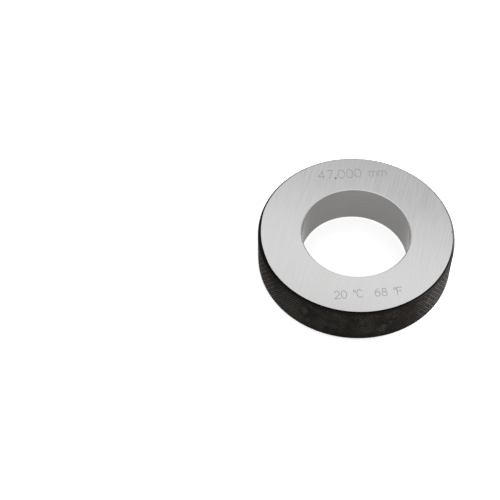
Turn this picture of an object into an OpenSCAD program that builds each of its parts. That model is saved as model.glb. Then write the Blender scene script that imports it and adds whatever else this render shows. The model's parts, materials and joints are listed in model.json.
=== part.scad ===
// Plain ring gauge: one hardened steel ring whose lapped bore is the measuring surface.
// Both faces are ground flat and square to the bore, and the blackened rim has a diamond knurl.
// Units are millimetres. The origin is on the bore's axis at the underside, and +Z is up.

/* [Bore] */
// Diameter of the lapped bore, which is the size that the gauge states
bore_d = 47; // [40:0.5:50]
// Leg of the small 45 degree chamfer at each end of the bore
bore_chamfer = 0.5; // [0.2:0.1:1]

/* [Ring] */
// Diameter over the crests of the knurl
ring_d = 85; // [78:1:90]
// Height from one ground face to the other
ring_h = 20; // [17:1:23]
// Leg of the 45 degree chamfer around the marked face, measured from the crests
top_chamfer = 1; // [0.8:0.1:2]
// Leg of the 45 degree chamfer around the plain face, measured from the crests
base_chamfer = 1.3; // [0.8:0.1:2]

/* [Knurl] */
// Width of one diamond, measured around the rim
knurl_pitch = 1.7; // [1.7:0.1:3]
// Angle between the grooves and the ring's axis
knurl_angle = 33; // [28:1:34]
// Depth of the grooves below the crests
knurl_depth = 0.4; // [0.2:0.05:0.6]
// Plain turned land between each rim chamfer and the knurl
knurl_land = 0.2; // [0.1:0.1:1]

/* [Hidden] */

// Fineness of the turned surfaces in a preview
turned_fn = 360;
// Height by which the groove bottoms stand off the turned rim
groove_lift = 0.05;
// How far the bore's cutter reaches past each face
overcut = 1;

bore_r = bore_d / 2;
crest_r = ring_d / 2;
groove_r = crest_r - knurl_depth;
rim_r = groove_r - groove_lift;

// Heights between which the rim is a plain cylinder on the blank
rim_z0 = base_chamfer - (crest_r - rim_r);
rim_z1 = ring_h - top_chamfer + (crest_r - rim_r);

// The knurl's points lie half a diamond apart, both around the rim and along it
knurl_z0 = rim_z0 + knurl_land;
knurl_h = rim_z1 - knurl_land - knurl_z0;
columns = 2 * round(PI * ring_d / knurl_pitch);
rows = 2 * round(knurl_h * tan(knurl_angle) / knurl_pitch);

// The blank: a plain disc, turned with its two rim chamfers
module blank() {
    rotate_extrude($fn = turned_fn)
        polygon([
            [0, 0],
            [crest_r - base_chamfer, 0],
            [rim_r, rim_z0],
            [rim_r, rim_z1],
            [crest_r - top_chamfer, ring_h],
            [0, ring_h]
        ]);
}

// Radius at a point of the knurl: grooves cross at every other point, and crests lie between
function knurl_r(column, row) =
    row == 0 || row == rows || (column + row) % 2 == 0 ? groove_r : crest_r;

// One patch between four neighbouring points, folded along the groove that crosses it
function patch(column, row) =
    let (
        next = (column + 1) % columns,
        a = row * columns + column,
        b = row * columns + next,
        c = (row + 1) * columns + next,
        d = (row + 1) * columns + column
    )
    (column + row) % 2 == 0 ? [[a, c, b], [a, d, c]] : [[a, d, b], [b, d, c]];

// The knurled belt: rows of pyramids between two families of grooves that wind around the rim
module knurl() {
    points = [
        for (row = [0 : rows], column = [0 : columns - 1])
            let (a = 360 * column / columns, r = knurl_r(column, row))
            [r * cos(a), r * sin(a), knurl_z0 + knurl_h * row / rows]
    ];
    pyramids = [for (row = [0 : rows - 1], column = [0 : columns - 1]) each patch(column, row)];
    underside = [for (column = [0 : columns - 1]) column];
    top = [for (column = [columns - 1 : -1 : 0]) rows * columns + column];
    polyhedron(points, concat(pyramids, [underside, top]), convexity = 4);
}

// What is bored out: the measuring cylinder and a chamfer at each of its ends
module bore_cut() {
    mouth_r = bore_r + bore_chamfer + overcut;
    rotate_extrude($fn = turned_fn)
        polygon([
            [0, -overcut],
            [mouth_r, -overcut],
            [bore_r, bore_chamfer],
            [bore_r, ring_h - bore_chamfer],
            [mouth_r, ring_h + overcut],
            [0, ring_h + overcut]
        ]);
}

// The whole gauge, which is one piece of steel
module gauge_ring() {
    difference() {
        union() {
            color("silver") blank();
            color("dimgray") knurl();
        }
        color("silver") bore_cut();
    }
}

gauge_ring();
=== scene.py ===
import json
import math

import bmesh
import bpy
from bpy.props import FloatProperty, FloatVectorProperty, IntProperty, PointerProperty, StringProperty
from mathutils import Matrix, Vector
from mathutils.geometry import delaunay_2d_cdt


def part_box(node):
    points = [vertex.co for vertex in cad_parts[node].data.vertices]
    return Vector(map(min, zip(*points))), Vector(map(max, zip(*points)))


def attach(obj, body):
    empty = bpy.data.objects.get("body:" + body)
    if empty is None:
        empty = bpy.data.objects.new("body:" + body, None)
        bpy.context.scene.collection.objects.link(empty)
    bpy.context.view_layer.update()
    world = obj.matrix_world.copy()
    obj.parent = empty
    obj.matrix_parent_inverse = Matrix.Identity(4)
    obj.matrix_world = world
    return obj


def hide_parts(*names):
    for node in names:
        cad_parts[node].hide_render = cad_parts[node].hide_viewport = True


bl_info = {
    "name": "Plain Ring Gauge",
    "version": (1, 0, 0),
    "blender": (4, 5, 0),
    "location": "View3D > Sidebar > Ring Gauge",
    "description": "Builds a plain setting ring gauge with its finishes, and a pale studio around it",
    "category": "Object",
}

MM = 0.001
NODE = "gauge_ring"
BODY = "root"

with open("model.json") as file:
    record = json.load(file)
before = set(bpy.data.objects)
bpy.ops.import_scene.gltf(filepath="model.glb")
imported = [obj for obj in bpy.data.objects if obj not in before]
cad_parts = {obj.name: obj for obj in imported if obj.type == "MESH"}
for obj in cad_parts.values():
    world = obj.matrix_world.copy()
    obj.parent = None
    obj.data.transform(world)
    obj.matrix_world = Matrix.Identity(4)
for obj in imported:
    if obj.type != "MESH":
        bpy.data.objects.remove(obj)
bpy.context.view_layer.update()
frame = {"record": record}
cad_low, cad_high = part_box(NODE)
bore_mount = next(m for m in frame["record"]["mounts"] if m["name"] == "bore")


# Sizes and finishes that can be changed

class RingSizes(bpy.types.PropertyGroup):
    """Sizes of the turned ring"""
    height: FloatProperty(
        name="Height", description="Distance between the two ground faces",
        default=cad_high.z - cad_low.z, unit="LENGTH", precision=4)
    crest_radius: FloatProperty(
        name="Crest radius", description="Radius over the crests of the knurl",
        default=min(cad_high.x, cad_high.y, -cad_low.x, -cad_low.y), unit="LENGTH", precision=4)
    bore_radius: FloatProperty(
        name="Bore radius", description="Radius of the lapped bore",
        default=bore_mount["dims"]["r_mm"] * MM, unit="LENGTH", precision=4)
    bore_length: FloatProperty(
        name="Bore length", description="Length of the lapped wall between the bore's two chamfers",
        default=bore_mount["dims"]["length_mm"] * MM, unit="LENGTH", precision=4)
    top_chamfer: FloatProperty(
        name="Upper chamfer", description="Leg of the chamfer around the marked face",
        default=1.0 * MM, unit="LENGTH", precision=4)
    base_chamfer: FloatProperty(
        name="Lower chamfer", description="Leg of the chamfer around the plain face",
        default=1.3 * MM, unit="LENGTH", precision=4)
    edge_radius: FloatProperty(
        name="Edge radius", description="Radius to which the turned edges are broken",
        default=0.1 * MM, unit="LENGTH", precision=5)
    rim_edge: FloatProperty(
        name="Rim edge radius", description="Radius to which the edges between faces and rim are broken",
        default=0.3 * MM, unit="LENGTH", precision=5)
    segments: IntProperty(
        name="Segments", description="Number of flats around each turned surface", default=540, min=64)


class KnurlSizes(bpy.types.PropertyGroup):
    """Sizes of the diamond knurl"""
    width: FloatProperty(
        name="Diamond width", description="Width of one diamond, measured around the rim",
        default=1.1 * MM, unit="LENGTH", precision=5)
    angle: FloatProperty(
        name="Groove angle", description="Angle between the grooves and the ring's axis",
        default=math.radians(33), subtype="ANGLE")
    depth: FloatProperty(
        name="Groove depth", description="Depth of the grooves below the crests",
        default=0.3 * MM, unit="LENGTH", precision=5)
    crest: FloatProperty(
        name="Crest flat", description="Size of the flat on a crest, as a share of its diamond",
        default=0.5, min=0.02, max=0.9, subtype="FACTOR")


class MarkSizes(bpy.types.PropertyGroup):
    """Words and sizes of the engraved marks"""
    size_text: StringProperty(
        name="Size mark", description="Figures that state the bore's size", default="47.000 mm")
    size_height: FloatProperty(
        name="Size mark height", description="Height of the figures of the size mark",
        default=4.85 * MM, unit="LENGTH", precision=4)
    size_start: FloatVectorProperty(
        name="Size mark start", description="Start of the size mark's line on the face",
        default=(-14.6 * MM, 29.7 * MM), size=2, unit="LENGTH", precision=4)
    note_text: StringProperty(
        name="Temperature mark", default="20 ~C  68 ~F",
        description="Figures that state the reference temperature, with ~ for the degree sign")
    note_height: FloatProperty(
        name="Temperature mark height", description="Height of the figures of the temperature mark",
        default=3.8 * MM, unit="LENGTH", precision=4)
    note_start: FloatVectorProperty(
        name="Temperature mark start", description="Start of the temperature mark's line on the face",
        default=(-11.4 * MM, -34.7 * MM), size=2, unit="LENGTH", precision=4)
    tilt: FloatProperty(
        name="Tilt", description="Angle by which both lines rise to the right",
        default=math.radians(2.7), subtype="ANGLE")
    stroke: FloatProperty(
        name="Stroke width", description="Width of the engraved strokes",
        default=0.3 * MM, unit="LENGTH", precision=5)
    depth: FloatProperty(
        name="Stroke depth", description="Depth of the engraved strokes",
        default=0.06 * MM, unit="LENGTH", precision=5)
    punch: FloatProperty(
        name="Point radius", description="Radius and depth of the punched decimal point",
        default=0.5 * MM, unit="LENGTH", precision=5)
    nick: FloatProperty(
        name="Nick", description="Radius and depth of a small nick in the marked face's edge",
        default=0.6 * MM, unit="LENGTH", precision=5)
    nick_angle: FloatProperty(
        name="Nick angle", description="Angle around the ring from +X to the nick",
        default=math.radians(-2), subtype="ANGLE")


class Finishes(bpy.types.PropertyGroup):
    """Colours and roughness of the steel's finishes"""
    face_color: FloatVectorProperty(
        name="Ground face", description="Colour of the ground faces",
        default=(0.390, 0.388, 0.387), size=3, subtype="COLOR", min=0, max=1)
    face_roughness: FloatProperty(
        name="Face roughness", description="Roughness of the ground faces",
        default=0.23, subtype="FACTOR", min=0, max=1)
    grain_angle: FloatProperty(
        name="Grinding angle", description="Angle by which the grinding lines lean from +Y to +X",
        default=math.radians(16.5), subtype="ANGLE")
    # Painted shade: the bore's colour is darker than the faces' steel, standing in for the shade inside the
    # bore
    shaded_bore_color: FloatVectorProperty(
        name="Lapped bore", description="Colour of the lapped bore",
        default=(0.232, 0.224, 0.219), size=3, subtype="COLOR", min=0, max=1)
    oxide_color: FloatVectorProperty(
        name="Black oxide", description="Colour of the blackened rim",
        default=(0.0062, 0.0053, 0.0045), size=3, subtype="COLOR", min=0, max=1)
    # The crests' grey, from wear and from painted highlight
    wear_and_highlight_color: FloatVectorProperty(
        name="Rubbed crests", description="Colour where the black is rubbed off the crests",
        default=(0.173, 0.155, 0.137), size=3, subtype="COLOR", min=0, max=1)
    # Also the colour of the painted light on the rim and on its chamfers
    scuff_and_light_color: FloatVectorProperty(
        name="Scuffs", description="Colour of the pale scuffs on the rim",
        default=(0.133, 0.1245, 0.1135), size=3, subtype="COLOR", min=0, max=1)
    mark_color: FloatVectorProperty(
        name="Engraved strokes", description="Colour inside the engraved strokes",
        default=(0.345, 0.345, 0.345), size=3, subtype="COLOR", min=0, max=1)


class StudioSettings(bpy.types.PropertyGroup):
    """Camera, lamps, floor and world"""
    eye: FloatVectorProperty(
        name="Camera", description="Place of the camera", size=3, unit="LENGTH",
        default=(-46.0 * MM, -303.63 * MM, 419.31 * MM))
    pitch: FloatProperty(
        name="Pitch", description="Angle by which the camera looks down",
        default=math.radians(53.53), subtype="ANGLE")
    roll: FloatProperty(
        name="Roll", description="Angle by which the camera leans",
        default=math.radians(-1.36), subtype="ANGLE")
    lens: FloatProperty(
        name="Lens", description="Focal length on a 36 mm wide sensor, in millimetres",
        default=83.66, unit="CAMERA")
    overhead_place: FloatVectorProperty(
        name="Overhead lamp", description="Place of the lamp that the steel mirrors",
        default=(0.127, 0.331, 0.557), size=3, unit="LENGTH", precision=3)
    overhead_size: FloatVectorProperty(
        name="Overhead lamp size", description="Width and depth of the overhead lamp",
        default=(0.58, 0.124), size=2, unit="LENGTH", precision=3)
    overhead_radiance: FloatProperty(
        name="Overhead lamp radiance", description="Radiance of the overhead lamp", default=1.1, min=0)
    right_place: FloatVectorProperty(
        name="Right lamp", description="Place of the low lamp that lights the rim from the right",
        default=(0.51, 0.29, 0.13), size=3, unit="LENGTH", precision=3)
    right_size: FloatVectorProperty(
        name="Right lamp size", description="Width and height of the right lamp",
        default=(0.5, 0.3), size=2, unit="LENGTH", precision=3)
    right_radiance: FloatProperty(
        name="Right lamp radiance", description="Radiance of the right lamp", default=22.0, min=0)
    floor_color: FloatVectorProperty(
        name="Floor", description="Colour of the floor",
        default=(0.8, 0.8, 0.8), size=3, subtype="COLOR", min=0, max=1)
    floor_glow: FloatProperty(
        name="Floor glow", description="Strength added to the floor where it is seen, to show it white",
        default=0.68, min=0)
    world_light: FloatProperty(
        name="World light", description="Strength of the world's light on the ring and the floor",
        default=0.7, min=0)


# Shader nodes

class Wire:
    """A socket's value, so that shader maths reads as arithmetic"""

    def __init__(self, tree, socket):
        self.tree = tree
        self.socket = socket

    def math(self, operation, *values):
        """The result of a Math node on these values"""
        node = self.tree.node("ShaderNodeMath", {"operation": operation}, dict(enumerate(values)))
        return Wire(self.tree, node.outputs[0])

    def __add__(self, other):
        return self.math("ADD", self, other)

    def __sub__(self, other):
        return self.math("SUBTRACT", self, other)

    def __rsub__(self, other):
        return self.math("SUBTRACT", other, self)

    def __mul__(self, other):
        return self.math("MULTIPLY", self, other)

    def __truediv__(self, other):
        return self.math("DIVIDE", self, other)

    def __rtruediv__(self, other):
        return self.math("DIVIDE", other, self)

    def __pow__(self, other):
        return self.math("POWER", self, other)

    def __rpow__(self, other):
        return self.math("POWER", other, self)

    __radd__ = __add__
    __rmul__ = __mul__

    def floor(self):
        """The whole number just below"""
        return self.math("FLOOR", self)

    def ramp(self, low, high):
        """0 below low, 1 above high, and a smooth rise between them"""
        node = self.tree.node(
            "ShaderNodeMapRange", {"interpolation_type": "SMOOTHSTEP"},
            {"Value": self, "From Min": low, "From Max": high})
        return Wire(self.tree, node.outputs["Result"])


def length(across, along):
    """The length of a line, from its part across and its part along"""
    return (across * across + along * along) ** 0.5


class Tree:
    """A node tree, with one method that adds any node"""

    def __init__(self, tree):
        self.tree = tree
        tree.nodes.clear()

    def node(self, kind, settings=None, inputs=None):
        """A new node of that type, with its settings made first and its sockets then filled or linked"""
        node = self.tree.nodes.new(kind)
        for name, value in (settings or {}).items():
            setattr(node, name, value)
        for name, value in (inputs or {}).items():
            source = value.socket if isinstance(value, Wire) else value
            if isinstance(source, bpy.types.NodeSocket):
                self.tree.links.new(source, node.inputs[name])
            else:
                node.inputs[name].default_value = source
        return node

    def place(self):
        """The point being shaded, in the ring's own frame"""
        return self.node("ShaderNodeTexCoord").outputs["Object"]

    def axes(self, vector):
        """The three parts of a vector"""
        parts = self.node("ShaderNodeSeparateXYZ", None, {"Vector": vector}).outputs
        return [Wire(self, parts[name]) for name in "XYZ"]

    def point(self, x, y, z):
        """A vector made of three parts"""
        return self.node("ShaderNodeCombineXYZ", None, {"X": x, "Y": y, "Z": z}).outputs["Vector"]

    def angle_around(self, x, y):
        """The angle around the ring's axis, in radians from +X"""
        node = self.node("ShaderNodeMath", {"operation": "ARCTAN2"}, {0: y, 1: x})
        return Wire(self, node.outputs[0])

    def facing(self, x, y, degrees):
        """1 on the side of the ring that lies at that angle from +X, and -1 on the opposite side"""
        angle = math.radians(degrees)
        return (x * math.cos(angle) + y * math.sin(angle)) / length(x, y)

    def random(self, vector):
        """A number from 0 to 1 that is different for each vector"""
        node = self.node("ShaderNodeTexWhiteNoise", {"noise_dimensions": "3D"}, {"Vector": vector})
        return Wire(self, node.outputs["Value"])

    def noise(self, vector, scale, detail=2):
        """Soft noise from 0 to 1, with about scale changes in each metre"""
        node = self.node("ShaderNodeTexNoise", None, {"Vector": vector, "Scale": scale, "Detail": detail})
        return Wire(self, node.outputs[0])

    def blend(self, mask, low, high):
        """The colour low, given or linked, where the mask is 0, and the colour high where it is 1"""
        start = low if isinstance(low, bpy.types.NodeSocket) else (*low, 1)
        # A Mix node's inputs 6 and 7 are its two colours, and its output 2 is their mix
        node = self.node("ShaderNodeMix", {"data_type": "RGBA"}, {0: mask, 6: start, 7: (*high, 1)})
        return node.outputs[2]

    def vary(self, mask, color, darkest, lightest):
        """A colour times a factor that goes from darkest to lightest as the mask goes from 0 to 1"""
        return self.blend(mask, [part * darkest for part in color], [part * lightest for part in color])

    def bump(self, height, distance):
        """A normal bent by a height from 0 to 1, over that distance"""
        node = self.node("ShaderNodeBump", None, {"Height": height, "Distance": distance, "Strength": 1.0})
        return node.outputs["Normal"]

    def surface(self, **inputs):
        """Ends the tree in one principled surface"""
        named = {name.replace("_", " "): value for name, value in inputs.items()}
        shader = self.node("ShaderNodeBsdfPrincipled", None, named)
        self.node("ShaderNodeOutputMaterial", None, {"Surface": shader.outputs["BSDF"]})


def new_material(name):
    """An empty node material and its tree"""
    material = bpy.data.materials.new(name)
    material.use_nodes = True
    return material, Tree(material.node_tree)


# Finishes of the steel

class KnurlLattice:
    """Where the knurl's points lie, counted in half diamonds around the rim and up it"""

    def __init__(self, sizes, knurl):
        self.columns = 4 * round(math.pi * sizes.crest_radius / knurl.width)
        self.step = math.tau / self.columns
        self.rise = knurl.width / 2 / math.tan(knurl.angle)
        # An even number of rows, which reach past both faces
        self.rows = 2 * math.ceil((sizes.height / self.rise + 2) / 2)
        self.low = (sizes.height - self.rows * self.rise) / 2


def ground_steel(finish, sizes):
    """Surface ground steel: fine straight lines that all run one way, and a blackened outer edge, widened at
    the far left by painted shade
    """
    material, tree = new_material("ground_steel")
    place = tree.place()
    x, y, z = tree.axes(place)
    across = x * math.cos(finish.grain_angle) - y * math.sin(finish.grain_angle)
    along = x * math.sin(finish.grain_angle) + y * math.cos(finish.grain_angle)
    # Noise that changes fast across the lines and slowly along them
    fine = tree.noise(tree.point(across, along * 0.02, z), scale=5200)
    broad = tree.noise(tree.point(across, along * 0.035, z), scale=1500)
    cloud = tree.noise(place, scale=40)
    tone = (fine * 0.3 + broad * 0.5 + cloud * 0.2).ramp(0.3, 0.7)
    steel = tree.vary(tone, finish.face_color, 0.925, 1.075)
    # The rim's black starts just inside the edge, and at the far left painted shade reaches further in
    edge = sizes.crest_radius - sizes.top_chamfer
    shade_reach = tree.facing(x, y, -176).ramp(0.92, 1.0) * (0.32 * MM)
    blackened = (length(x, y) + shade_reach).ramp(edge - 0.12 * MM, edge - 0.07 * MM)
    tree.surface(
        Base_Color=tree.blend(blackened, steel, finish.oxide_color),
        Metallic=1.0,
        Roughness=tone * 0.05 + (finish.face_roughness - 0.02),
        Normal=tree.bump(fine * 0.7 + broad * 0.3, 0.0008 * MM))
    return material


def lapped_steel(finish, sizes):
    """Lapped bore: fine lines that cross each other at a low angle as they wind around the wall, in a colour
    darkened as painted shade for the hollow
    """
    material, tree = new_material("lapped_steel")
    x, y, z = tree.axes(tree.place())
    around = tree.angle_around(x, y) * sizes.bore_radius
    slope, stretch = 0.12, 0.02
    rising = tree.noise(tree.point(around * stretch, z + around * slope, 0.0), scale=2600)
    falling = tree.noise(tree.point(around * stretch, z - around * slope, 1.0), scale=2600)
    tone = (rising * 0.5 + falling * 0.5).ramp(0.3, 0.7)
    tree.surface(
        Base_Color=tree.vary(tone, finish.shaded_bore_color, 0.93, 1.07),
        Metallic=1.0,
        Specular_Tint=(0.7, 0.7, 0.7, 1.0),
        Roughness=tone * 0.05 + 0.14,
        Normal=tree.bump(tone, 0.0006 * MM))
    return material


def turned_steel(finish):
    """Small bright chamfers, turned and then stoned by hand"""
    material, tree = new_material("turned_steel")
    x, y, z = tree.axes(tree.place())
    lines = tree.noise(tree.point(length(x, y), z, 0.0), scale=9000)
    tree.surface(
        Base_Color=tree.vary(lines, finish.face_color, 1.55, 1.75),
        Metallic=1.0,
        Roughness=lines * 0.1 + 0.35)
    return material


# Scuffs on the rim, and two wide patches of painted light: angle in degrees, height, half width and half
# height in millimetres, and strength
SCUFFS_AND_LIT_PATCHES = [
    (-124.0, 12.2, 1.8, 3.2, 0.6),
    (-108.0, 8.5, 6.0, 1.6, 0.25),
    (-90.5, 12.8, 1.6, 2.2, 0.4),
    (-78.0, 7.8, 2.4, 3.0, 0.75),
    (-73.5, 11.0, 1.0, 1.2, 0.6),
    (-55.5, 15.5, 1.6, 1.4, 0.6),
    (-48.0, 12.2, 2.6, 2.2, 0.6),
    (-53.0, 5.5, 2.0, 1.4, 0.45),
    # Painted reflection: this wide low patch on the left stands in for the white floor mirrored there
    (-146.0, 5.0, 20.0, 7.0, 0.42),
    # Painted light: this large patch on the right stands in for the light from the right
    (-39.5, 12.0, 14.0, 18.0, 0.6),
]


def scuff_and_light_patches(turn, z, rim_radius):
    """How far the rim is marked by scuff marks and by painted light at that angle and height: the sum of soft
    ovals
    """
    total = 0.0
    for angle, height, half_width, half_height, strength in SCUFFS_AND_LIT_PATCHES:
        across = (turn - math.radians(angle)) * (rim_radius / (half_width * MM))
        upward = (z - height * MM) / (half_height * MM)
        total = (1 - length(across, upward).ramp(0.2, 1.2)) * strength + total
    return total


def unevenness_and_highlights(tree, turn, z, lattice, sides):
    """A factor of about 1 that differs at random from diamond to diamond, most of all where sides is 1, where
    it also paints a highlight on alternate diamonds
    """
    column = turn / lattice.step
    row = (z - lattice.low) / lattice.rise
    rising, falling = ((column + row) / 2).floor(), ((column - row) / 2).floor()
    chance = tree.random(tree.point(rising, falling, 0.0)) - 0.5
    # 1 where both lines through a diamond have even numbers, -1 where both have odd ones, else 0
    paired = ((rising / 2).floor() + (falling / 2).floor()) * 2 - rising - falling + 1
    # Painted highlight: paired makes alternate diamonds lighter and darker at the sides
    return chance * (sides * 0.3 + 0.4) + paired * sides * 0.6 + 0.95


def black_oxide(finish, sizes, knurl):
    """Blackened knurl: black grooves, crests grey with wear and with painted highlight, pale scuff marks
    where hands and benches touch, and painted light and shade that change around the rim
    """
    material, tree = new_material("black_oxide")
    place = tree.place()
    x, y, z = tree.axes(place)
    turn = tree.angle_around(x, y)
    cloud = tree.noise(place, scale=110, detail=3).ramp(0.35, 0.7)
    speck = tree.noise(place, scale=1400).ramp(0.35, 0.7)
    patch = tree.noise(place, scale=620, detail=1).ramp(0.35, 0.65)
    crest_foot = sizes.crest_radius - knurl.depth * 0.45
    crest_top = sizes.crest_radius - knurl.depth * 0.05
    # The crests are lighter, partly as real wear and partly as painted highlight
    crest = length(x, y).ramp(crest_foot, crest_top)
    # Painted highlight: at the two sides alternate diamonds are painted lighter and darker, as crests that
    # catch the light, and in front the crests are painted duller and the grooves lighter, as the diamonds
    # there catch none
    nearness = tree.facing(x, y, -102)
    front = nearness.ramp(0.58, 0.81)
    sides = (1 - front) * nearness.ramp(-0.3, 0.1)
    uneven_and_highlit = unevenness_and_highlights(tree, turn, z, KnurlLattice(sizes, knurl), sides)
    # Painted shade keeps the black high on the far left, and the grey is darker towards the rim's top and
    # bottom
    share = z / sizes.height
    far_left_shade = tree.facing(x, y, -175).ramp(0.76, 0.92) * share.ramp(0.575, 0.85)
    ends = (1 - share.ramp(0.885, 0.935) * 0.25) * (share.ramp(0.0, 0.3) * 0.35 + 0.65)
    greyed = crest * (1 - front * 0.4) + front * 0.16
    rubbed_and_lit = greyed * (cloud * 0.3 + 0.24) * uneven_and_highlit * (1 - far_left_shade * 0.6) * ends
    # Scuff marks, with the wide patches of painted light
    scuffed_and_lit = scuff_and_light_patches(turn, z, sizes.crest_radius) * uneven_and_highlit * (patch * 0.7 + 0.65) * (crest * 0.8 + 0.2)
    steel = tree.blend(rubbed_and_lit, finish.oxide_color, finish.wear_and_highlight_color)
    tree.surface(
        Base_Color=tree.blend(scuffed_and_lit, steel, finish.scuff_and_light_color),
        Metallic=0.0,
        Specular_IOR_Level=0.01,
        Roughness=0.5,
        Normal=tree.bump(speck, 0.004 * MM))
    return material


def black_chamfer(finish, sizes):
    """Smooth blackened chamfers beside the knurl, darkest just under the marked face, with painted light from
    the right round to the back and low on the upper chamfer, and painted shade at the left
    """
    material, tree = new_material("black_chamfer")
    place = tree.place()
    x, y, z = tree.axes(place)
    film = tree.noise(place, scale=900)
    turn = tree.angle_around(x, y)
    # Painted light: the black is painted greyer from the right round to the back, and low on the upper
    # chamfer, most at the right, while painted shade keeps it dark at the left
    lit_from_right = turn.ramp(-0.35, -0.1) * (1 - turn.ramp(2.4, 3.0))
    upper = (z / sizes.height).ramp(0.25, 0.5)
    lower = ((sizes.height - z) / sizes.top_chamfer).ramp(0.25, 0.85) * upper
    left = tree.facing(x, y, -175).ramp(0.85, 0.95)
    right = tree.facing(x, y, -40).ramp(0.9, 0.97)
    greyed = lower * (1 - left * 0.8) * (right * 0.25 + 0.13)
    dark = tree.vary(film, finish.oxide_color, 0.5, 0.9)
    tree.surface(
        Base_Color=tree.blend(lit_from_right * 0.5 + greyed, dark, finish.scuff_and_light_color),
        Metallic=0.0,
        Specular_IOR_Level=0.02,
        Roughness=film * 0.1 + 0.4)
    return material


def engraved_steel(finish):
    """Floor and sides of the engraved strokes: dull steel, left rough by the engraving point"""
    material, tree = new_material("engraved_steel")
    grain = tree.noise(tree.place(), scale=6000)
    tree.surface(
        Base_Color=tree.vary(grain, finish.mark_color, 0.75, 1.1),
        Metallic=1.0,
        Roughness=grain * 0.15 + 0.4)
    return material


# Order of the ring's material slots
GROUND, LAPPED, TURNED, KNURLED, CHAMFERED, ENGRAVED = range(6)


# Meshes

def mesh_object(name, vertices, faces, finishes):
    """An object made of these faces, each with its own material slot"""
    mesh = bpy.data.meshes.new(name)
    mesh.from_pydata(vertices, [], faces)
    mesh.polygons.foreach_set("material_index", finishes)
    mesh.update()
    piece = bpy.data.objects.new(name, mesh)
    bpy.context.scene.collection.objects.link(piece)
    return piece


def broken_edge(before, corner, after, radius, steps=3):
    """The points of a small curve that breaks the corner between two straight sides"""
    to_before = (before - corner).normalized()
    to_after = (after - corner).normalized()
    reach = radius / math.tan(to_before.angle(to_after) / 2)
    shares = [step / steps for step in range(steps + 1)]
    return [corner + to_before * (reach * (1 - t) ** 2) + to_after * (reach * t ** 2) for t in shares]


def turned_ring(sizes):
    """The ring as turned, with its two rim cones run on past the knurl's crests"""
    chamfer = (sizes.height - sizes.bore_length) / 2
    overrun = 1.0 * MM
    bore, rim, top = sizes.bore_radius, sizes.crest_radius + overrun, sizes.height
    outline = [
        (bore + chamfer, 0, GROUND),
        (sizes.crest_radius - sizes.base_chamfer, 0, CHAMFERED),
        (rim, sizes.base_chamfer + overrun, CHAMFERED),
        (rim, top - sizes.top_chamfer - overrun, CHAMFERED),
        (sizes.crest_radius - sizes.top_chamfer, top, GROUND),
        (bore + chamfer, top, TURNED),
        (bore, top - chamfer, LAPPED),
        (bore, chamfer, TURNED),
    ]
    corners = [Vector((radius, height)) for radius, height, _ in outline]
    profile = []
    for number, (_, _, finish) in enumerate(outline):
        before, corner, after = corners[number - 1], corners[number], corners[(number + 1) % len(corners)]
        meeting = {finish, outline[number - 1][2]}
        if meeting == {GROUND, CHAMFERED}:
            radius, bend_finish = sizes.rim_edge, CHAMFERED
        elif GROUND in meeting:
            radius, bend_finish = sizes.edge_radius, GROUND
        else:
            radius, bend_finish = sizes.edge_radius, finish
        bend = broken_edge(before, corner, after, radius)
        profile += [(point, bend_finish) for point in bend[:-1]] + [(bend[-1], finish)]
    count = len(profile)
    vertices = []
    for turn in range(sizes.segments):
        angle = math.tau * turn / sizes.segments
        vertices += [(p.x * math.cos(angle), p.x * math.sin(angle), p.y) for p, _ in profile]
    faces, finishes = [], []
    for turn in range(sizes.segments):
        here, there = turn * count, (turn + 1) % sizes.segments * count
        for number in range(count):
            follow = (number + 1) % count
            faces.append((here + number, there + number, there + follow, here + follow))
            finishes.append(profile[number][1])
    return mesh_object("gauge_ring_dressed", vertices, faces, finishes)


def knurled_disc(sizes, knurl):
    """A disc whose rim is knurled with flat topped diamonds, taller than the ring at both ends"""
    lattice = KnurlLattice(sizes, knurl)
    columns, rows = lattice.columns, lattice.rows
    groove_radius = sizes.crest_radius - knurl.depth
    vertices, faces = [], []

    def vertex(column, row, radius):
        """Adds a point of the rim, counted in half diamonds, and gives its number"""
        angle = column * lattice.step
        height = lattice.low + row * lattice.rise
        vertices.append((radius * math.cos(angle), radius * math.sin(angle), height))
        return len(vertices) - 1

    crossings = {
        (column, row): vertex(column, row, groove_radius)
        for row in range(rows + 1) for column in range(row % 2, columns, 2)
    }
    around = [(-1, 0), (0, -1), (1, 0), (0, 1)]
    for row in range(rows + 1):
        for column in range(1 - row % 2, columns, 2):
            corners = [crossings.get(((column + dc) % columns, row + dr)) for dc, dr in around]
            if None in corners:
                # Half a diamond, at the top or the bottom of the disc
                faces.append([corner for corner in corners if corner is not None])
                continue
            flat = [
                vertex(column + knurl.crest * dc, row + knurl.crest * dr, sizes.crest_radius)
                for dc, dr in around
            ]
            faces.append(flat)
            for side in range(4):
                follow = (side + 1) % 4
                faces.append((corners[side], corners[follow], flat[follow], flat[side]))
    faces.append([crossings[column, 0] for column in range(columns - 2, -1, -2)])
    faces.append([crossings[column, rows] for column in range(0, columns, 2)])
    return mesh_object("knurl_cutter", vertices, faces, [KNURLED] * len(faces))


# Engraving: each glyph is a list of strokes in a box one unit high, and a stroke is a list of points

def line(*points):
    """Straight strokes from each point to the next"""
    return [[Vector(a), Vector(b)] for a, b in zip(points, points[1:])]


def arc(x, y, radius_x, radius_y, start, end, span=15):
    """One curved stroke along an ellipse, between two angles in degrees, in steps of about that span"""
    steps = max(4, round(abs(end - start) / span))
    angles = [math.radians(start + (end - start) * step / steps) for step in range(steps + 1)]
    return [[Vector((x + radius_x * math.cos(a), y + radius_y * math.sin(a))) for a in angles]]


def loop(x, y, radius_x, radius_y):
    """A closed ellipse, as two strokes that meet"""
    return arc(x, y, radius_x, radius_y, 90, 270) + arc(x, y, radius_x, radius_y, -90, 90)


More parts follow.
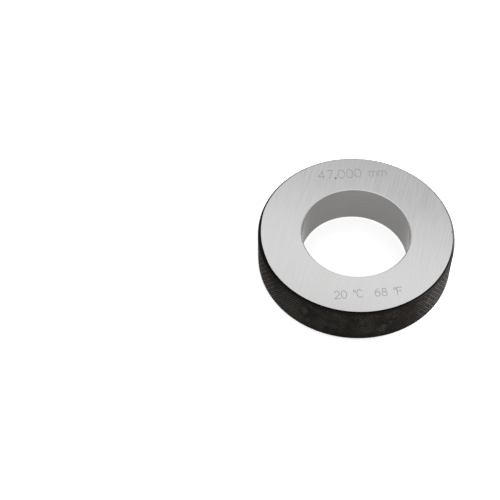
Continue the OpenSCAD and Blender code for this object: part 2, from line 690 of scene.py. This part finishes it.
# Strokes of each glyph and the width that it takes up, where ~ is the ring of a degree sign
GLYPHS = {
    "0": (loop(0.3, 0.5, 0.29, 0.5), 0.76),
    "2": (arc(0.3, 0.72, 0.28, 0.28, 165, -35) + line((0.53, 0.56), (0.02, 0), (0.6, 0)), 0.76),
    "4": (line((0.46, 0), (0.46, 1), (0, 0.3), (0.62, 0.3)), 0.76),
    "6": (loop(0.3, 0.3, 0.28, 0.3) + arc(0.56, 0.3, 0.54, 0.7, 180, 100), 0.76),
    "7": (line((0.02, 1), (0.6, 1), (0.22, 0)), 0.76),
    "8": (loop(0.3, 0.76, 0.22, 0.24) + loop(0.3, 0.27, 0.28, 0.27), 0.76),
    ".": ([], 0.34),
    "~": (loop(0.12, 0.86, 0.12, 0.14), 0.36),
    "C": (arc(0.34, 0.5, 0.33, 0.5, 45, 315), 0.76),
    "F": (line((0, 0), (0, 1), (0.52, 1)) + line((0, 0.53), (0.42, 0.53)), 0.7),
    "m": (
        line((0, 0), (0, 0.62)) + line((0.34, 0), (0.34, 0.42)) + line((0.68, 0), (0.68, 0.42))
        + arc(0.17, 0.42, 0.17, 0.2, 180, 0) + arc(0.51, 0.42, 0.17, 0.2, 180, 0), 0.84),
    " ": ([], 0.6),
}


def line_of_text(text, height, start, tilt):
    """The strokes of a line of text, placed on the face"""
    turn = Matrix.Rotation(tilt, 2)
    pen = 0.0
    strokes = []
    for letter in text:
        glyph, advance = GLYPHS[letter]
        for stroke in glyph:
            strokes.append([Vector(start) + turn @ ((point + Vector((pen, 0))) * height) for point in stroke])
        pen += advance
    return strokes


def stroke_outline(points, radius, cap_steps=5):
    """The outline of a stroke with round ends, as one closed loop of points"""
    outline = []
    for side in (points, points[::-1]):
        for number, point in enumerate(side):
            before = side[max(number - 1, 0)]
            after = side[min(number + 1, len(side) - 1)]
            right = (after - before).normalized().orthogonal() * -radius
            outline.append(point + right)
        heading = math.atan2(right.y, right.x)
        for step in range(1, cap_steps):
            angle = heading + math.pi * step / cap_steps
            outline.append(side[-1] + Vector((math.cos(angle), math.sin(angle))) * radius)
    return outline


def engraving_cutter(marks, top):
    """A closed solid for all the strokes, reaching from above the face down to the strokes' floor"""
    strokes = line_of_text(marks.size_text, marks.size_height, marks.size_start, marks.tilt)
    strokes += line_of_text(marks.note_text, marks.note_height, marks.note_start, marks.tilt)
    points, outlines = [], []
    for stroke in strokes:
        outline = stroke_outline(stroke, marks.stroke / 2)
        outlines.append(list(range(len(points), len(points) + len(outline))))
        points += outline
    weld = 2e-6
    flat, _, tiles, _, _, covers = delaunay_2d_cdt(points, [], outlines, 0, weld)
    triangles = [tile for tile, cover in zip(tiles, covers) if cover]
    count = len(flat)
    overcut = marks.depth * 4
    vertices = [(*point, top - marks.depth) for point in flat]
    vertices += [(*point, top + overcut) for point in flat]
    faces = [tuple(reversed(triangle)) for triangle in triangles]
    faces += [tuple(corner + count for corner in triangle) for triangle in triangles]
    sides = {(t[n], t[(n + 1) % len(t)]) for t in triangles for n in range(len(t))}
    faces += [(a, b, b + count, a + count) for a, b in sorted(sides) if (b, a) not in sides]
    return mesh_object("engraving_cutter", vertices, faces, [ENGRAVED] * len(faces))


def cone_cutter(name, x, y, top, depth, steps=24):
    """A cone that makes a pit as wide as it is deep, with its point down"""
    angles = [math.tau * step / steps for step in range(steps)]
    overcut = depth * 0.5
    reach = depth + overcut
    vertices = [(x, y, top - depth)]
    vertices += [(x + reach * math.cos(a), y + reach * math.sin(a), top + overcut) for a in angles]
    faces = [(0, (step + 1) % steps + 1, step + 1) for step in range(steps)]
    faces.append(tuple(range(1, steps + 1)))
    return mesh_object(name, vertices, faces, [ENGRAVED] * len(faces))


def decimal_point(marks):
    """Where the size mark's decimal point lies on the face"""
    pen = sum(GLYPHS[letter][1] for letter in marks.size_text.partition(".")[0])
    # How far it lies right of the pen and above the line, as a share of the figures' height
    inset = 0.07
    turn = Matrix.Rotation(marks.tilt, 2)
    return Vector(marks.size_start) + turn @ (Vector((pen + inset, inset)) * marks.size_height)


def combine(piece, other, operation):
    """Cuts or trims the piece with another closed mesh, which is then used up"""
    boolean = piece.modifiers.new("combine", "BOOLEAN")
    boolean.operation = operation
    boolean.solver = "MANIFOLD"
    boolean.object = other
    shape = piece.evaluated_get(bpy.context.evaluated_depsgraph_get())
    mesh = bpy.data.meshes.new_from_object(shape)
    piece.modifiers.clear()
    piece.data = mesh
    bpy.data.objects.remove(other)
    if not mesh.polygons:
        raise RuntimeError(f"{operation} left nothing of {piece.name}")


def clean(mesh):
    """Merges doubled points, checks that the mesh is closed, and keeps its edges crisp"""
    weld = 1e-7
    crease = math.radians(5)
    shape = bmesh.new()
    shape.from_mesh(mesh)
    bmesh.ops.remove_doubles(shape, verts=shape.verts, dist=weld)
    bmesh.ops.dissolve_degenerate(shape, edges=shape.edges, dist=weld)
    open_edges = sum(not edge.is_manifold for edge in shape.edges)
    shape.to_mesh(mesh)
    shape.free()
    if open_edges:
        raise RuntimeError(f"{mesh.name} has {open_edges} open edges")
    mesh.shade_smooth()
    mesh.set_sharp_from_angle(angle=crease)


class RINGGAUGE_OT_ring(bpy.types.Operator):
    """Build the steel ring with its bore, faces, chamfers, knurl and engraved marks"""
    bl_idname = "ringgauge.ring"
    bl_label = "Gauge Ring"

    def execute(self, context):
        scene = context.scene
        sizes, knurl, marks = scene.ring_sizes, scene.knurl_sizes, scene.mark_sizes
        finish = scene.finishes
        materials = [
            ground_steel(finish, sizes), lapped_steel(finish, sizes), turned_steel(finish),
            black_oxide(finish, sizes, knurl), black_chamfer(finish, sizes), engraved_steel(finish),
        ]
        ring = turned_ring(sizes)
        disc = knurled_disc(sizes, knurl)
        engraving = engraving_cutter(marks, sizes.height)
        point = decimal_point(marks)
        punch = cone_cutter("punch_cutter", point.x, point.y, sizes.height, marks.punch)
        edge = sizes.crest_radius - sizes.top_chamfer
        nick = cone_cutter(
            "nick_cutter", edge * math.cos(marks.nick_angle), edge * math.sin(marks.nick_angle),
            sizes.height, marks.nick)
        for piece in (ring, disc, engraving, punch, nick):
            for material in materials:
                piece.data.materials.append(material)
        combine(ring, disc, "INTERSECT")
        for cutter in (engraving, punch, nick):
            combine(ring, cutter, "DIFFERENCE")
        clean(ring.data)
        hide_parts(NODE)
        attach(ring, BODY)
        return {"FINISHED"}


# Studio

WHITE = (1, 1, 1, 1)


def seen_directly(tree):
    """1 for the camera's rays, also once mirrored or through glass, and 0 for scattered light"""
    path = tree.node("ShaderNodeLightPath").outputs
    rays = Wire(tree, path["Is Camera Ray"]) + Wire(tree, path["Is Glossy Ray"])
    return rays + Wire(tree, path["Is Transmission Ray"])


def add_floor(settings):
    """A large pale floor, shown white, on which the ring's shadow stays"""
    half = 3.0
    drop = 0.02 * MM
    corners = [(-half, -half, -drop), (half, -half, -drop), (half, half, -drop), (-half, half, -drop)]
    ground = mesh_object("studio_floor", corners, [(0, 1, 2, 3)], [0])
    material, tree = new_material("pale_floor")
    paper = tree.node("ShaderNodeBsdfDiffuse", None, {"Color": (*settings.floor_color, 1)})
    glow = tree.node("ShaderNodeEmission", None, {"Color": WHITE, "Strength": settings.floor_glow})
    lit = tree.node("ShaderNodeAddShader", None, {0: paper.outputs[0], 1: glow.outputs[0]})
    shown = tree.node(
        "ShaderNodeMixShader", None, {0: seen_directly(tree), 1: paper.outputs[0], 2: lit.outputs[0]})
    tree.node("ShaderNodeOutputMaterial", None, {"Surface": shown.outputs[0]})
    ground.data.materials.append(material)


def add_world(settings):
    """An even pale world, shown white"""
    sky = bpy.data.worlds.new("pale_world")
    sky.use_nodes = True
    tree = Tree(sky.node_tree)
    soft = tree.node("ShaderNodeBackground", None, {"Color": WHITE, "Strength": settings.world_light})
    plain = tree.node("ShaderNodeBackground", None, {"Color": WHITE, "Strength": 1.0})
    shown = tree.node(
        "ShaderNodeMixShader", None, {0: seen_directly(tree), 1: soft.outputs[0], 2: plain.outputs[0]})
    tree.node("ShaderNodeOutputWorld", None, {"Surface": shown.outputs[0]})
    bpy.context.scene.world = sky


def add_softbox(name, place, aim, size, radiance, mirrored=True):
    """A rectangular lamp that faces a point, shines evenly at that radiance and may show in metal"""
    lamp = bpy.data.lights.new(name, "AREA")
    lamp.shape = "RECTANGLE"
    lamp.size, lamp.size_y = size
    lamp.energy = radiance * math.pi * size[0] * size[1]
    box = bpy.data.objects.new(name, lamp)
    box.visible_glossy = mirrored
    box.location = place
    box.rotation_euler = (Vector(aim) - Vector(place)).to_track_quat("-Z", "Y").to_euler()
    bpy.context.scene.collection.objects.link(box)


def add_camera(settings):
    """The camera, looking down at the ring from the front"""
    forward = Vector((0, math.cos(settings.pitch), -math.sin(settings.pitch)))
    upward = Vector((0, math.sin(settings.pitch), math.cos(settings.pitch)))
    right = Vector((1, 0, 0))
    cos_roll, sin_roll = math.cos(settings.roll), math.sin(settings.roll)
    axes = (right * cos_roll + upward * sin_roll, upward * cos_roll - right * sin_roll, -forward)
    view = bpy.data.cameras.new("camera")
    view.lens = settings.lens
    view.sensor_width = 36
    view.clip_start = 0.01
    eye = bpy.data.objects.new("camera", view)
    eye.matrix_world = Matrix.Translation(settings.eye) @ Matrix(axes).transposed().to_4x4()
    bpy.context.scene.collection.objects.link(eye)
    bpy.context.scene.camera = eye


class RINGGAUGE_OT_studio(bpy.types.Operator):
    """Build the pale floor and world, the lamps and the camera"""
    bl_idname = "ringgauge.studio"
    bl_label = "Studio"

    def execute(self, context):
        scene = context.scene
        settings = scene.studio_settings
        scene.view_settings.view_transform = "Standard"
        add_floor(settings)
        add_world(settings)
        middle = (0, 0, scene.ring_sizes.height / 2)
        add_softbox(
            "overhead_lamp", settings.overhead_place, middle, settings.overhead_size,
            settings.overhead_radiance)
        add_softbox(
            "right_lamp", settings.right_place, middle, settings.right_size,
            settings.right_radiance, mirrored=False)
        add_camera(settings)
        return {"FINISHED"}


class RINGGAUGE_PT_panel(bpy.types.Panel):
    """Lists what can be built"""
    bl_idname = "RINGGAUGE_PT_panel"
    bl_label = "Plain Ring Gauge"
    bl_space_type = "VIEW_3D"
    bl_region_type = "UI"
    bl_category = "Ring Gauge"

    def draw(self, context):
        for operator in (RINGGAUGE_OT_ring, RINGGAUGE_OT_studio):
            self.layout.operator(operator.bl_idname)


GROUPS = {
    "ring_sizes": RingSizes,
    "knurl_sizes": KnurlSizes,
    "mark_sizes": MarkSizes,
    "finishes": Finishes,
    "studio_settings": StudioSettings,
}
CLASSES = (*GROUPS.values(), RINGGAUGE_OT_ring, RINGGAUGE_OT_studio, RINGGAUGE_PT_panel)


def register():
    """Adds the settings, the operators and the panel"""
    for kind in CLASSES:
        bpy.utils.register_class(kind)
    for name, group in GROUPS.items():
        setattr(bpy.types.Scene, name, PointerProperty(type=group))


def unregister():
    """Takes them away again"""
    for name in GROUPS:
        delattr(bpy.types.Scene, name)
    for kind in reversed(CLASSES):
        bpy.utils.unregister_class(kind)


def main():
    """Builds the ring and the studio"""
    register()
    bpy.ops.ringgauge.ring()
    bpy.ops.ringgauge.studio()
    bpy.context.view_layer.update()


if __name__ == "__main__":
    main()
